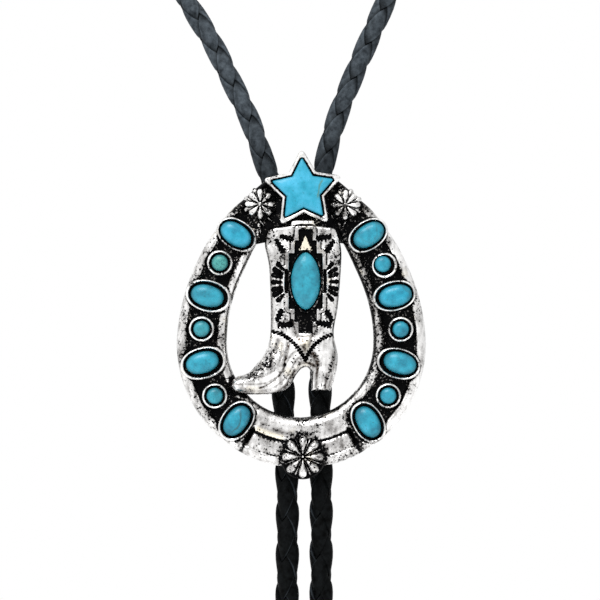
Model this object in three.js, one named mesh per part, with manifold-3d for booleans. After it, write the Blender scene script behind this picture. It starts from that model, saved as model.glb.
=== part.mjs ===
// Bolo tie: a cast horseshoe slide with a boot, a star, conchos and turquoise cabochons,
// worn on a round braided leather cord with metal tips.
// Millimetres, +Z up, facing -Y. The origin is the nape, where the cord's loop hangs on the neck.
// The slide is modelled face up in a group of its own (x right, y up its face, z out of its face),
// with its back on z = 0, and that group is then stood upright.

import * as THREE from 'three';
import { mergeVertices } from 'three/addons/utils/BufferGeometryUtils.js';
import Module from 'manifold-3d';

const wasm = await Module();
wasm.setup();

// Driving dimensions

const GAP = 0.3;                                   // clearance between separate pieces
const CLEAR_OF_FACE = 10;                          // cuts end here, above everything on the slide's face
const CLEAR_OF_SIDES = 40;                         // and here, outside everything on it
const NAPE = new THREE.Vector3(0, 118, 166);       // the nape, seen from the middle of the slide's back

// Horseshoe centreline: a half circle at the toe, and arms that close in to the star
const HORSESHOE = { radius: 23.1, centreY: -10, rise: 40, pinch: 0.457, armEnd: 66 };
const BAND_HALF_WIDTHS = [
  { angle: 0, half: 5.65 },
  { angle: 30, half: 5.1 },
  { angle: 54, half: 4.5 },
  { angle: 66, half: 2.2 },
];
const STATION_STEP = 7;                            // degrees between sections of the band
const TOE_START = -62;                             // below this angle the channel is filled to the toe
const TOE_STEP = 1.5;                              // degrees over which the channel's end rises
// Section of the band: u runs from its inner edge (-1) to its outer edge (1)
const BAND_SECTION = [
  { u: -1, arm: 0, toe: 0 },
  { u: -1, arm: 1.5, toe: 1.6 },
  { u: -0.9, arm: 2.4, toe: 2.5 },
  { u: -0.76, arm: 2.8, toe: 2.9 },
  { u: -0.62, arm: 2.6, toe: 3.1 },
  { u: -0.56, arm: 1.9, toe: 3.1 },
  { u: -0.24, arm: 1.9, toe: 2.95 },
  { u: -0.15, arm: 1.9, toe: 2.5 },
  { u: -0.06, arm: 1.9, toe: 2.95 },
  { u: 0.56, arm: 1.9, toe: 3.1 },
  { u: 0.62, arm: 2.6, toe: 3.0 },
  { u: 0.76, arm: 2.9, toe: 2.75 },
  { u: 0.9, arm: 2.4, toe: 2.3 },
  { u: 1, arm: 1.5, toe: 1.5 },
  { u: 1, arm: 0, toe: 0 },
];

// Cabochons: half axes of the stone and of its bezel, and heights above the slide's back
const CABOCHONS = {
  oval: { a: 4.2, b: 2.9, rimA: 5.3, rimB: 3.65, rim: 3.9, top: 5.3, sides: 16 },
  round: { a: 2.0, b: 2.0, rimA: 2.9, rimB: 2.9, rim: 3.8, top: 4.7, sides: 12 },
};
const SEAT = 2.5;                                  // height of the stones' seats
const BEZEL_FOOT = 1;                              // the bezels start inside the band
const BEZEL_EDGE = 0.35;                           // slope of a bezel's rim
const GIRDLE = 0.8;                                // upright edge of a stone below its dome
const DOME_ANGLES = [0, 25, 50, 72];               // where a stone's dome has its rings
// Settings of the right arm, from the star down. The left arm mirrors them
const SETTINGS = [
  { stone: 'oval', x: 15.07, y: 14.95, tilt: 28 },
  { stone: 'round', x: 18.75, y: 8.35, tilt: 0 },
  { stone: 'oval', x: 21.5, y: 1.0, tilt: 10.5 },
  { stone: 'round', x: 22.85, y: -6.65, tilt: 0 },
  { stone: 'oval', x: 22.6, y: -14.5, tilt: -14 },
  { stone: 'round', x: 20.0, y: -22.0, tilt: 0 },
  { stone: 'oval', x: 15.07, y: -28.0, tilt: -70 },
];

// Yoke: the plate behind the star that joins both arms and the boot, level with the channel
const YOKE_HEIGHT = 1.9;
const YOKE_OUTLINE = [[-12.5, 12.6], [12.5, 12.6], [12.5, 20], [9, 25.8], [-9, 25.8], [-12.5, 20]];

// Star: tip and notch radii of its setting and of its stone
const STAR = { x: 0.4, y: 25.2, tip: 9.2, notch: 4.85, stoneTip: 7.1, stoneNotch: 3.9 };
const STAR_LEVELS = { rim: 4.7, seat: 3.0 };
// Crown of the star stone: each ring's share of its outline and its height
const STAR_CROWN = [
  { scale: 1, z: 4.7 },
  { scale: 0.93, z: 5.35 },
  { scale: 0.8, z: 5.5 },
];
const STAR_TIP_ROUND = 0.93;                       // share of a tip's flank that is straight

// Conchos: fluted domes of eight petals
const CONCHOS = [
  { x: -9.5, y: 22.1, radius: 3.7, foot: 1, edge: 2.6, top: 4.2 },
  { x: 10.0, y: 21.9, radius: 3.7, foot: 1, edge: 2.6, top: 4.2 },
  { x: 0.2, y: -35.3, radius: 5.6, foot: 0, edge: 2.6, top: 5.0 },
];
const PETALS = 8;
const CONCHO_SIDES = 4 * PETALS;
const CONCHO_RINGS = [
  { reach: 1, rise: 0, flute: 0.3 },
  { reach: 0.86, rise: 0.5, flute: 0.6 },
  { reach: 0.5, rise: 0.9, flute: 0.5 },
  { reach: 0.24, rise: 0.86, flute: 0.2 },
  { reach: 0.1, rise: 1, flute: 0 },
];
const CONCHO_SCALLOP = 0.12;                       // how far the notches cut into a concho's edge

// Boot: stretches of its outline, each a smooth curve through its points, clockwise from the top
const BOOT_OUTLINE = [
  { part: 'top', points: [[-7.9, 15.6], [-2.4, 18.6], [2.9, 18.6], [8.1, 15.9]] },
  { part: 'back', points: [[8.1, 15.9], [9.3, 11.4], [9.0, 7], [8.1, -1.8], [7.1, -8.6], [8.4, -13.2],
    [7.1, -18.1], [6.3, -20.7]] },
  { part: 'heel', points: [[6.3, -20.7], [2.4, -20.7]] },
  { part: 'heel front', points: [[2.4, -20.7], [2.0, -16.1]] },
  { part: 'arch', points: [[2.0, -16.1], [0.5, -15.4], [-1.2, -16.7], [-1.9, -18.7], [-3.4, -20.8]] },
  { part: 'sole', points: [[-3.4, -20.8], [-6.6, -21.6], [-12.6, -21.6], [-15.4, -20.9]] },
  { part: 'toe', points: [[-15.4, -20.9], [-16.1, -19.7], [-15.6, -18.4], [-14.4, -17.6]] },
  { part: 'instep', points: [[-14.4, -17.6], [-12.3, -16.9], [-10, -14.4], [-8.1, -12.3], [-7, -9.7],
    [-6.8, -5.2], [-7.1, 4], [-7.1, 8.2], [-8.2, 13], [-7.9, 15.6]] },
];
const BOOT = { height: 3.8, edge: 0.6, pointsPerSpan: 2 };
const MARQUISE = { x: 1.0, y: 4.35, a: 3.35, b: 6.8, rimA: 3.95, rimB: 7.7, rim: 4.1, top: 5.6, sides: 16 };
const MARQUISE_SEAT = 2.8;
// Stepped ground round the marquise: half width and half height of each step
const BOOT_STEPS = [
  { halfX: 4.7, halfY: 2.9 },
  { halfX: 3.7, halfY: 6.2 },
  { halfX: 2.4, halfY: 9.1 },
  { halfX: 1.4, halfY: 11.7 },
];
const STEP_DEPTH = 0.6;
const ENGRAVING_DEPTH = 0.45;
// Fans of engraved petals on the shaft, with the angles of their first and last petal
const FANS = [
  { x: -3.2, y: 4.15, reach: 2.6, height: 1.4, first: 110, last: 250, petals: 7 },
  { x: 5.7, y: 4.15, reach: 2.1, height: 1.6, first: -70, last: 70, petals: 7 },
  { x: -2.8, y: 12.2, reach: 2.15, height: 1, first: 80, last: 205, petals: 5 },
  { x: 4.5, y: 12.4, reach: 2.15, height: 1, first: -25, last: 100, petals: 5 },
  { x: -3.1, y: -3.6, reach: 2.15, height: 1, first: 155, last: 280, petals: 5 },
  { x: 4.5, y: -3.6, reach: 2.15, height: 1, first: -100, last: 25, petals: 5 },
];
const FAN_PETAL = { half: 0.9, halfWidth: 0.28, sides: 6 };
const SEAM_WIDTH = 0.6;
const SEAM_STEPS = 6;
// Seams where the shaft is sewn to the vamp and to the heel counter
const SEAMS = [
  { from: [-6.5, -7.3], bend: [-1.6, -8.4], to: [0.95, -14.1] },
  { from: [7.6, -7.8], bend: [3.0, -8.6], to: [0.95, -14.1] },
];

// Cord: round braid, its two runs through the clip, and the length of the whole tie
const CORD_RADIUS = 2.5;
const CORD_SIDES = 10;
const CORD_STEP = 12;                              // length of one straight step of the tube
const TIE_LENGTH = 914;                            // from tip to tip along the cord
// Route of each run from the slide's bottom edge up to the nape, from the middle of the slide's back:
// x to the right, y away from the wearer's front, z up
const CORD_DEPTH = 4.2;
const LEFT_ROUTE = [
  [-3.3, CORD_DEPTH, -42], [-4.1, CORD_DEPTH, -24], [-4.3, CORD_DEPTH, -6], [-4.3, CORD_DEPTH, 6],
  [-4.3, CORD_DEPTH, 17], [-5.2, 4.4, 23], [-7.7, 5.2, 29.5], [-11.9, 8.2, 41.7], [-16.3, 11.2, 51.1],
  [-21, 14.4, 60.6], [-26.4, 17.6, 69.8], [-36, 27, 90], [-47, 39, 114], [-55, 54, 137], [-58.5, 72, 153],
  [-53, 93, 162], [-35, 110, 165.2], [-12, 117.6, 166], [0, 118, 166],
];
const RIGHT_ROUTE = [
  [4.6, CORD_DEPTH, -42], [4.4, CORD_DEPTH, -24], [4.2, CORD_DEPTH, -6], [4.2, CORD_DEPTH, 6],
  [4.2, CORD_DEPTH, 17], [4.3, 4.4, 23], [5.2, 5.2, 30.5], [8.1, 8.2, 41.7], [11.7, 11.2, 51.1],
  [15.7, 14.4, 60.6], [19.7, 17.6, 69.8], [28.5, 27, 90], [38.5, 39, 114], [47, 54, 137], [51.5, 72, 153],
  [47.5, 93, 162], [32, 110, 165.2], [12, 117.6, 166], [0, 118, 166],
];
const TAIL_STEPS = 4;                              // route points along each straight tail

// Tips: plain tapered ferrules with a socket for the cord
const TIP = { length: 32, socket: 8, wall: 0.6, waist: 2.7, waistHeight: 14.4, end: 1.6, endRound: 1, sides: 14 };

// Clip on the back of the slide: a plate with two rolled cord guides and a pressing bar
const CLIP = { plate: 1.0, bottom: 10.8, top: 16.5, left: -6.8, right: 7.0, wall: 0.6, bar: 0.8, barHalf: 1.6 };
const GUIDE_SIDES = 16;

// Materials
const silver = new THREE.MeshStandardMaterial({ color: '#b9b8b4', roughness: 0.35, metalness: 1 });
const turquoise = new THREE.MeshStandardMaterial({ color: '#38a9cf', roughness: 0.3, metalness: 0 });
const leather = new THREE.MeshStandardMaterial({ color: '#1b1d20', roughness: 0.55, metalness: 0 });
const steel = new THREE.MeshStandardMaterial({ color: '#a9abac', roughness: 0.4, metalness: 1 });

// Solids

function volume(positions, triangles) {
  const [a, b, c] = [new THREE.Vector3(), new THREE.Vector3(), new THREE.Vector3()];
  let sum = 0;
  for (let i = 0; i < triangles.length; i += 3) {
    a.fromArray(positions, 3 * triangles[i]);
    b.fromArray(positions, 3 * triangles[i + 1]);
    c.fromArray(positions, 3 * triangles[i + 2]);
    sum += a.dot(b.cross(c));
  }
  return sum / 6;
}

// A closed geometry as a solid with its faces pointing out
function solid(geometry) {
  const bare = geometry.clone();
  bare.deleteAttribute('normal');
  bare.deleteAttribute('uv');
  const merged = mergeVertices(bare);
  const vertProperties = new Float32Array(merged.attributes.position.array);
  const triVerts = new Uint32Array(merged.index.array);
  if (volume(vertProperties, triVerts) < 0) {
    triVerts.reverse();
  }
  return new wasm.Manifold(new wasm.Mesh({ numProp: 3, vertProperties, triVerts }));
}

function geometryOf(body) {
  const mesh = body.getMesh();
  const geometry = new THREE.BufferGeometry();
  geometry.setAttribute('position', new THREE.BufferAttribute(new Float32Array(mesh.vertProperties), 3));
  geometry.setIndex(new THREE.BufferAttribute(new Uint32Array(mesh.triVerts), 1));
  geometry.computeVertexNormals();
  return geometry;
}

function joined(bodies) {
  return bodies.reduce((whole, body) => whole.add(body));
}

// Rings of points skinned into a closed solid, each end closed by a fan
function skin(rings) {
  const sides = rings[0].length;
  const points = rings.flat();
  const triangles = [];
  for (let ring = 0; ring + 1 < rings.length; ring += 1) {
    for (let side = 0; side < sides; side += 1) {
      const next = (side + 1) % sides;
      const low = ring * sides;
      const high = low + sides;
      triangles.push(low + side, low + next, high + next, low + side, high + next, high + side);
    }
  }
  const middle = (ring) => ring.reduce((sum, p) => sum.add(p), new THREE.Vector3()).divideScalar(sides);
  const last = (rings.length - 1) * sides;
  const first = points.push(middle(rings[0]), middle(rings[rings.length - 1])) - 2;
  for (let side = 0; side < sides; side += 1) {
    const next = (side + 1) % sides;
    triangles.push(first, next, side, first + 1, last + side, last + next);
  }
  const geometry = new THREE.BufferGeometry().setFromPoints(points);
  geometry.setIndex(triangles);
  return geometry;
}

// An outline stacked in layers, each scaled about the middle and raised to its height
function stack(outline, layers) {
  const ring = ({ scale, z }) => outline.map((p) => new THREE.Vector3(p.x * scale, p.y * scale, z));
  return skin(layers.map(ring));
}

function prism(outline, low, high) {
  return stack(outline, [{ scale: 1, z: low }, { scale: 1, z: high }]);
}

function placed(geometry, x, y, degrees) {
  return geometry.rotateZ(THREE.MathUtils.degToRad(degrees)).translate(x, y, 0);
}

function box(x0, y0, z0, x1, y1, z1) {
  const geometry = new THREE.BoxGeometry(x1 - x0, y1 - y0, z1 - z0);
  return geometry.translate((x0 + x1) / 2, (y0 + y1) / 2, (z0 + z1) / 2);
}

// Outlines

function ellipse(a, b, sides) {
  return Array.from({ length: sides }, (_, i) => {
    const turn = (2 * Math.PI * i) / sides;
    return new THREE.Vector2(a * Math.cos(turn), b * Math.sin(turn));
  });
}

// Two arcs that meet in points at the top and bottom
function pointedOval(a, b, sides) {
  const radius = (a * a + b * b) / (2 * a);
  const half = Math.asin(b / radius);
  const arc = (sign) => Array.from({ length: sides / 2 }, (_, i) => {
    const turn = -half + (2 * half * i) / (sides / 2);
    return new THREE.Vector2(sign * (radius * Math.cos(turn) - radius + a), sign * radius * Math.sin(turn));
  });
  return [...arc(1), ...arc(-1)];
}

// A five-pointed star whose tips are blunted into a short round
function star(tip, notch, round) {
  const at = (radius, degrees) => {
    const turn = THREE.MathUtils.degToRad(degrees);
    return new THREE.Vector2(radius * Math.cos(turn), radius * Math.sin(turn));
  };
  return Array.from({ length: 5 }, (_, i) => {
    const middle = 90 + 72 * i;
    const end = at(tip, middle);
    const before = at(notch, middle - 36);
    const after = at(notch, middle + 36);
    const blunted = at(tip * (1 + round) / 2, middle);
    return [before, end.clone().lerp(before, 1 - round), blunted, end.clone().lerp(after, 1 - round)];
  }).flat();
}

// Horseshoe band

function halfWidth(angle) {
  const rows = BAND_HALF_WIDTHS;
  const next = rows.findIndex((row) => row.angle >= angle);
  if (next === 0) {
    return rows[0].half;
  }
  const { angle: low, half: from } = rows[next - 1];
  const { angle: high, half: to } = rows[next];
  return THREE.MathUtils.mapLinear(angle, low, high, from, to);
}

// Centreline at an angle: 0 at the widest point of an arm, -90 at the toe, on the right (+1) or left (-1)
function centreline(angle, side) {
  const turn = THREE.MathUtils.degToRad(angle);
  const sine = Math.sin(turn);
  const upper = angle > 0;
  const x = HORSESHOE.radius * Math.cos(turn) * (upper ? 1 - HORSESHOE.pinch * sine * sine : 1);
  return new THREE.Vector2(side * x, HORSESHOE.centreY + (upper ? HORSESHOE.rise : HORSESHOE.radius) * sine);
}

function bandSection(angle, side) {
  const middle = centreline(angle, side);
  const along = centreline(angle + 0.5, side).sub(centreline(angle - 0.5, side)).normalize();
  const outward = new THREE.Vector2(along.y, -along.x).multiplyScalar(side * halfWidth(angle));
  const filled = THREE.MathUtils.clamp((TOE_START - angle) / TOE_STEP, 0, 1);
  const atEnd = angle === HORSESHOE.armEnd;
  return BAND_SECTION.map(({ u, arm, toe }) => {
    const height = THREE.MathUtils.lerp(arm, toe, filled);
    const z = atEnd ? Math.min(height, BAND_SECTION[1].arm) : height;
    return new THREE.Vector3(middle.x + u * outward.x, middle.y + u * outward.y, z);
  });
}

function horseshoe() {
  const { armEnd } = HORSESHOE;
  const arm = [];
  for (let angle = armEnd; angle > TOE_START; angle -= STATION_STEP) {
    arm.push(angle);
  }
  arm.push(TOE_START, TOE_START - TOE_STEP, TOE_START - TOE_STEP - STATION_STEP);
  arm.push(arm[arm.length - 1] - STATION_STEP);
  const right = arm.map((angle) => bandSection(angle, 1));
  const left = arm.map((angle) => bandSection(angle, -1)).reverse();
  return skin([...right, bandSection(-90, 1), ...left]);
}

// Settings and stones

function bezel({ rimA, rimB, rim, sides }) {
  const shoulder = 1 - BEZEL_EDGE / rimA;
  return stack(ellipse(rimA, rimB, sides), [
    { scale: 1, z: BEZEL_FOOT },
    { scale: 1, z: rim - BEZEL_EDGE },
    { scale: shoulder, z: rim },
  ]);
}

function seat(outline, z) {
  return prism(outline, z, CLEAR_OF_FACE);
}

// Domed stone: a short upright girdle, then the dome
function cabochon(outline, base, top) {
  const dome = DOME_ANGLES.map((degrees) => {
    const turn = THREE.MathUtils.degToRad(degrees);
    return { scale: Math.cos(turn), z: base + GIRDLE + (top - base - GIRDLE) * Math.sin(turn) };
  });
  return stack(outline, [{ scale: 1, z: base }, ...dome]);
}

function bothSides(visit) {
  for (const [side, name] of [[-1, 'left'], [1, 'right']]) {
    const count = { oval: 0, round: 0 };
    for (const setting of SETTINGS) {
      count[setting.stone] += 1;
      const label = `${setting.stone}_stone_${name}_${count[setting.stone]}`;
      visit(label, CABOCHONS[setting.stone], side * setting.x, setting.y, side * setting.tilt);
    }
  }
}

function concho({ radius, foot, edge, top }) {
  const ring = (reach, z, flute) => Array.from({ length: CONCHO_SIDES }, (_, i) => {
    const turn = (2 * Math.PI * i) / CONCHO_SIDES;
    const notch = 1 - Math.abs(Math.cos((PETALS / 2) * turn));
    const r = radius * reach * (1 - CONCHO_SCALLOP * notch);
    return new THREE.Vector3(r * Math.cos(turn), r * Math.sin(turn), z - flute * notch);
  });
  const rings = CONCHO_RINGS.map(({ reach, rise, flute }) => ring(reach, edge + (top - edge) * rise, flute));
  return skin([ring(1, foot, 0), ...rings]);
}

// Boot

function bootShape() {
  const outline = BOOT_OUTLINE.flatMap(({ points }) => {
    const curve = new THREE.SplineCurve(points.map(([x, y]) => new THREE.Vector2(x, y)));
    const spans = points.length - 1;
    return curve.getPoints(spans === 1 ? 1 : spans * BOOT.pointsPerSpan).slice(0, -1);
  });
  return new THREE.Shape(outline);
}

function bootBody() {
  const { height, edge } = BOOT;
  const geometry = new THREE.ExtrudeGeometry(bootShape(), {
    depth: height - edge, bevelThickness: edge, bevelSize: edge, bevelOffset: -edge, bevelSegments: 2,
  });
  const below = box(-CLEAR_OF_SIDES, -CLEAR_OF_SIDES, -2 * edge, CLEAR_OF_SIDES, CLEAR_OF_SIDES, 0);
  return solid(geometry).subtract(solid(below));
}

function fanPetals({ x, y, reach, height, first, last, petals }) {
  const { half, halfWidth: width, sides } = FAN_PETAL;
  const low = BOOT.height - ENGRAVING_DEPTH;
  return Array.from({ length: petals }, (_, i) => {
    const degrees = first + ((last - first) * i) / (petals - 1);
    const turn = THREE.MathUtils.degToRad(degrees);
    const petal = prism(ellipse(half, width, sides), low, CLEAR_OF_FACE);
    return solid(placed(petal, x + reach * Math.cos(turn), y + height * reach * Math.sin(turn), degrees));
  });
}

function seamGroove({ from, bend, to }) {
  const curve = new THREE.QuadraticBezierCurve(
    new THREE.Vector2(...from), new THREE.Vector2(...bend), new THREE.Vector2(...to));
  const edge = (sign) => Array.from({ length: SEAM_STEPS + 1 }, (_, i) => {
    const along = curve.getTangent(i / SEAM_STEPS);
    const across = new THREE.Vector2(-along.y, along.x).multiplyScalar((sign * SEAM_WIDTH) / 2);
    return curve.getPoint(i / SEAM_STEPS).add(across);
  });
  const strip = new THREE.Shape([...edge(-1), ...edge(1).reverse()]);
  const geometry = new THREE.ExtrudeGeometry(strip, { depth: CLEAR_OF_FACE, bevelEnabled: false });
  return solid(geometry.translate(0, 0, BOOT.height - ENGRAVING_DEPTH));
}

function boot() {
  const { x, y, rimA, rimB, rim, sides } = MARQUISE;
  const ground = BOOT_STEPS.map(({ halfX, halfY }) => solid(
    box(x - halfX, y - halfY, BOOT.height - STEP_DEPTH, x + halfX, y + halfY, CLEAR_OF_FACE)));
  const cuts = joined([...ground, ...FANS.flatMap(fanPetals), ...SEAMS.map(seamGroove)]);
  const setting = prism(pointedOval(rimA, rimB, sides), BEZEL_FOOT, rim).translate(x, y, 0);
  return bootBody().subtract(cuts).add(solid(setting));
}

// The whole casting: everything joined, then the stones' seats cut

function casting() {
  const { tip, notch, stoneTip, stoneNotch } = STAR;
  const starBody = prism(star(tip, notch, STAR_TIP_ROUND), 0, STAR_LEVELS.rim);
  const starWell = seat(star(stoneTip + 2 * GAP, stoneNotch + GAP, STAR_TIP_ROUND), STAR_LEVELS.seat);
  const { a, b, sides } = MARQUISE;
  const marquiseWell = seat(pointedOval(a + GAP, b + 2 * GAP, sides), MARQUISE_SEAT);
  const yoke = prism(YOKE_OUTLINE.map(([x, y]) => new THREE.Vector2(x, y)), 0, YOKE_HEIGHT);
  const bodies = [solid(horseshoe()), solid(yoke), boot(), solid(starBody.translate(STAR.x, STAR.y, 0))];
  const wells = [
    solid(starWell.translate(STAR.x, STAR.y, 0)),
    solid(marquiseWell.translate(MARQUISE.x, MARQUISE.y, 0)),
  ];
  for (const row of CONCHOS) {
    bodies.push(solid(placed(concho(row), row.x, row.y, 0)));
  }
  bothSides((label, size, x, y, tilt) => {
    const well = seat(ellipse(size.a + GAP, size.b + GAP, size.sides), SEAT);
    bodies.push(solid(placed(bezel(size), x, y, tilt)));
    wells.push(solid(placed(well, x, y, tilt)));
  });
  return geometryOf(joined(bodies).subtract(joined(wells)));
}

function starStone() {
  const base = { scale: 1, z: STAR_LEVELS.seat + GAP };
  return stack(star(STAR.stoneTip, STAR.stoneNotch, STAR_TIP_ROUND), [base, ...STAR_CROWN]);
}

function marquiseStone() {
  const { a, b, sides, top } = MARQUISE;
  return cabochon(pointedOval(a, b, sides), MARQUISE_SEAT + GAP, top);
}

// Clip: the plate lies against the slide's back, and the guides are rolled round the cords

function clip() {
  const { plate, bottom, top, left, right, wall, bar, barHalf } = CLIP;
  const bore = (CORD_RADIUS + GAP) / Math.cos(Math.PI / GUIDE_SIDES);
  const run = (route) => route.find(([, , z]) => z > bottom)[0];
  const column = (route, radius, low, high) => {
    const tube = prism(ellipse(radius, radius, GUIDE_SIDES), low, high).rotateX(-Math.PI / 2);
    return solid(tube.translate(run(route), 0, -CORD_DEPTH));
  };
  const routes = [LEFT_ROUTE, RIGHT_ROUTE];
  const base = solid(box(left, bottom, -GAP - plate, right, top, -GAP));
  const guides = routes.map((route) => column(route, bore + wall, bottom, top));
  const behind = -CORD_DEPTH - bore - wall / 2;
  const middle = (bottom + top) / 2;
  const pressing = solid(box(left, middle - barHalf, behind - bar, right, middle + barHalf, behind));
  const bores = routes.map((route) => column(route, bore, bottom - 1, top + 1));
  return geometryOf(joined([base, ...guides, pressing]).subtract(joined(bores)));
}

// Cord and tips

function runLength(route) {
  return new THREE.CatmullRomCurve3(route.map((p) => new THREE.Vector3(...p))).getLength();
}

// Both tips hang to the same height, so that the whole tie has its length
function tipBottom() {
  const [left, right] = [LEFT_ROUTE, RIGHT_ROUTE];
  const tails = TIE_LENGTH - runLength(left) - runLength(right);
  return (left[0][2] + right[0][2] - tails) / 2;
}

function cordRun(route) {
  const [x, y, z] = route[0];
  const end = tipBottom() + TIP.length - TIP.socket + GAP;
  const tail = Array.from({ length: TAIL_STEPS }, (_, i) => [x, y, end + ((z - end) * i) / TAIL_STEPS]);
  const points = [...tail, ...route].map((p) => new THREE.Vector3(...p));
  points[points.length - 1].x += Math.sign(x) * (GAP / 2);
  const curve = new THREE.CatmullRomCurve3(points);
  const section = new THREE.Shape(ellipse(CORD_RADIUS, CORD_RADIUS, CORD_SIDES));
  const steps = Math.round(curve.getLength() / CORD_STEP);
  return geometryOf(solid(new THREE.ExtrudeGeometry(section, { steps, extrudePath: curve })));
}

function cordTip() {
  const { length, socket, wall, waist, waistHeight, end, endRound, sides } = TIP;
  const bore = CORD_RADIUS + GAP;
  const mouth = bore + wall;
  const profile = [
    [0, 0], [end - endRound / 2, endRound / 4], [end, endRound], [waist, waistHeight], [mouth, length - socket],
    [mouth, length], [bore, length], [bore, length - socket], [0, length - socket],
  ];
  const geometry = new THREE.LatheGeometry(profile.map(([r, h]) => new THREE.Vector2(r, h)), sides);
  return geometryOf(solid(geometry.rotateX(Math.PI / 2)));
}

// Assembly

const tie = new THREE.Group();
tie.position.copy(NAPE).negate();

function node(parent, name, geometry, material) {
  const mesh = new THREE.Mesh(geometry, material);
  mesh.name = name;
  parent.add(mesh);
  return mesh;
}

const slide = new THREE.Group();
slide.rotation.x = Math.PI / 2;
tie.add(slide);

node(slide, 'slide_casting', casting(), silver);
node(slide, 'star_stone', starStone(), turquoise).position.set(STAR.x, STAR.y, 0);
node(slide, 'marquise_stone', marquiseStone(), turquoise).position.set(MARQUISE.x, MARQUISE.y, 0);
bothSides((label, { a, b, sides, top }, x, y, tilt) => {
  const stone = node(slide, label, cabochon(ellipse(a, b, sides), SEAT + GAP, top), turquoise);
  stone.position.set(x, y, 0);
  stone.rotation.z = THREE.MathUtils.degToRad(tilt);
});
node(slide, 'cord_clip', clip(), steel);

for (const [name, route] of [['left', LEFT_ROUTE], ['right', RIGHT_ROUTE]]) {
  node(tie, `cord_${name}`, cordRun(route), leather);
  node(tie, `tip_${name}`, cordTip(), steel).position.set(route[0][0], route[0][1], tipBottom());
}

export default tie;
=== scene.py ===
# A bolo tie: a cast silver horseshoe with a boot, a star and three conchos, set with turquoise
# cabochons, on a loop of braided black leather cord with metal tips.
import math

import bmesh
import bpy
import numpy as np
from mathutils import Matrix, Vector, geometry
from mathutils.bvhtree import BVHTree


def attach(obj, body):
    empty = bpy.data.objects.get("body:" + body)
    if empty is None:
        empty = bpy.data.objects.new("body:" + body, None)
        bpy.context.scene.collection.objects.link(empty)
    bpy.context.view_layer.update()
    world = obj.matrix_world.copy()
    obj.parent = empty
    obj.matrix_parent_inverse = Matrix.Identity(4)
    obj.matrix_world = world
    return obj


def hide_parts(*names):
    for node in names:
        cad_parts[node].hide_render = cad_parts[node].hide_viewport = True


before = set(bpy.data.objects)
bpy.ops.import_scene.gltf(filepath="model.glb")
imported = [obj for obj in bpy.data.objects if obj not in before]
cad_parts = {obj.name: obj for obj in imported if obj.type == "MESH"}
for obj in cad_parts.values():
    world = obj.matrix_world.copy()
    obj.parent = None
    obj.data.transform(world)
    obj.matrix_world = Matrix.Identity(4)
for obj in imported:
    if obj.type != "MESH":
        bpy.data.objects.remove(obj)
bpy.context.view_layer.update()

bpy.ops.object.select_all(action="DESELECT")
scene = bpy.context.scene

# The slide is modelled in millimetres, lying face up. FACE stands it up in its place in the frame.
MM = 0.001
SLIDE = Vector((0, -0.118, -0.166))
FACE = Matrix.Translation(SLIDE) @ Matrix.Rotation(math.radians(90), 4, "X") @ Matrix.Scale(MM, 4)


# Modelling

def select(*pieces):
    """Select these objects and no others. The first becomes the active one."""
    bpy.ops.object.select_all(action="DESELECT")
    for piece in pieces:
        piece.select_set(True)
    bpy.context.view_layer.objects.active = pieces[0]


def edit():
    bpy.ops.object.mode_set(mode="EDIT")


def leave():
    bpy.ops.object.mode_set(mode="OBJECT")


def close():
    """Turn all faces of the mesh being edited outward, and leave it."""
    bpy.ops.mesh.select_all(action="SELECT")
    bpy.ops.mesh.normals_make_consistent(inside=False)
    leave()


def pick(kind, test):
    """Select the vertices or faces of the mesh being edited that pass the test."""
    bpy.ops.mesh.select_mode(type=kind)
    bpy.ops.mesh.select_all(action="DESELECT")
    data = bpy.context.object.data
    mesh = bmesh.from_edit_mesh(data)
    for item in mesh.verts if kind == "VERT" else mesh.faces:
        item.select_set(test(item))
    mesh.select_flush_mode()
    bmesh.update_edit_mesh(data)


def move(x, y, z):
    bpy.ops.transform.translate(value=(x, y, z))


def scale(x, y, z):
    bpy.ops.transform.resize(value=(x, y, z), center_override=(0, 0, 0))


def extrude(x, y, z):
    bpy.ops.mesh.extrude_region_move(TRANSFORM_OT_translate={"value": (x, y, z)})


def freeze():
    """Apply the place, turn and size of what is selected."""
    bpy.ops.object.transform_apply(location=True, rotation=True, scale=True)


def even(levels):
    """Levels that are as wide as they are high, from their radius and level."""
    return [(r, r, z) for r, z in levels]


def raise_face(levels):
    """Extrude the face being edited through rings of half width, half height and level."""
    move(0, 0, levels[0][2])
    for (w0, h0, z0), (w1, h1, z1) in zip(levels, levels[1:]):
        extrude(0, 0, z1 - z0)
        scale(w1 / w0, h1 / h0, 1)
    close()


def start_circle(name, vertices):
    """A flat round face, selected in edit mode."""
    bpy.ops.mesh.primitive_circle_add(vertices=vertices, radius=1, fill_type="NGON")
    piece = bpy.context.object
    piece.name = name
    edit()
    return piece, bmesh.from_edit_mesh(piece.data)


def turned(name, levels, vertices=48, fuller=1.0):
    """A closed piece made from a circle, raised ring by ring. Below 1, fuller squares the circle."""
    piece, mesh = start_circle(name, vertices)
    for v in mesh.verts:
        v.co = [math.copysign(abs(c) ** fuller, c) for c in v.co]
    bmesh.update_edit_mesh(piece.data)
    scale(levels[0][0], levels[0][1], 1)
    raise_face(levels)
    return piece


def flat_face(name, points):
    """A face with this outline, made from a circle's vertices and left selected in edit mode."""
    piece, mesh = start_circle(name, len(points))
    for v, (x, y) in zip(mesh.verts, points):
        v.co = (x, y, 0)
    bmesh.update_edit_mesh(piece.data)
    return piece


def rounded(radius, test):
    """Round the corners that pass the test, then select the whole face."""
    pick("VERT", test)
    bpy.ops.mesh.bevel(offset=radius, affect="VERTICES", segments=5)
    bpy.ops.mesh.select_mode(type="FACE")
    bpy.ops.mesh.select_all(action="SELECT")


def new_object(name, data):
    new = bpy.data.objects.new(name, data)
    scene.collection.objects.link(new)
    return new


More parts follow.
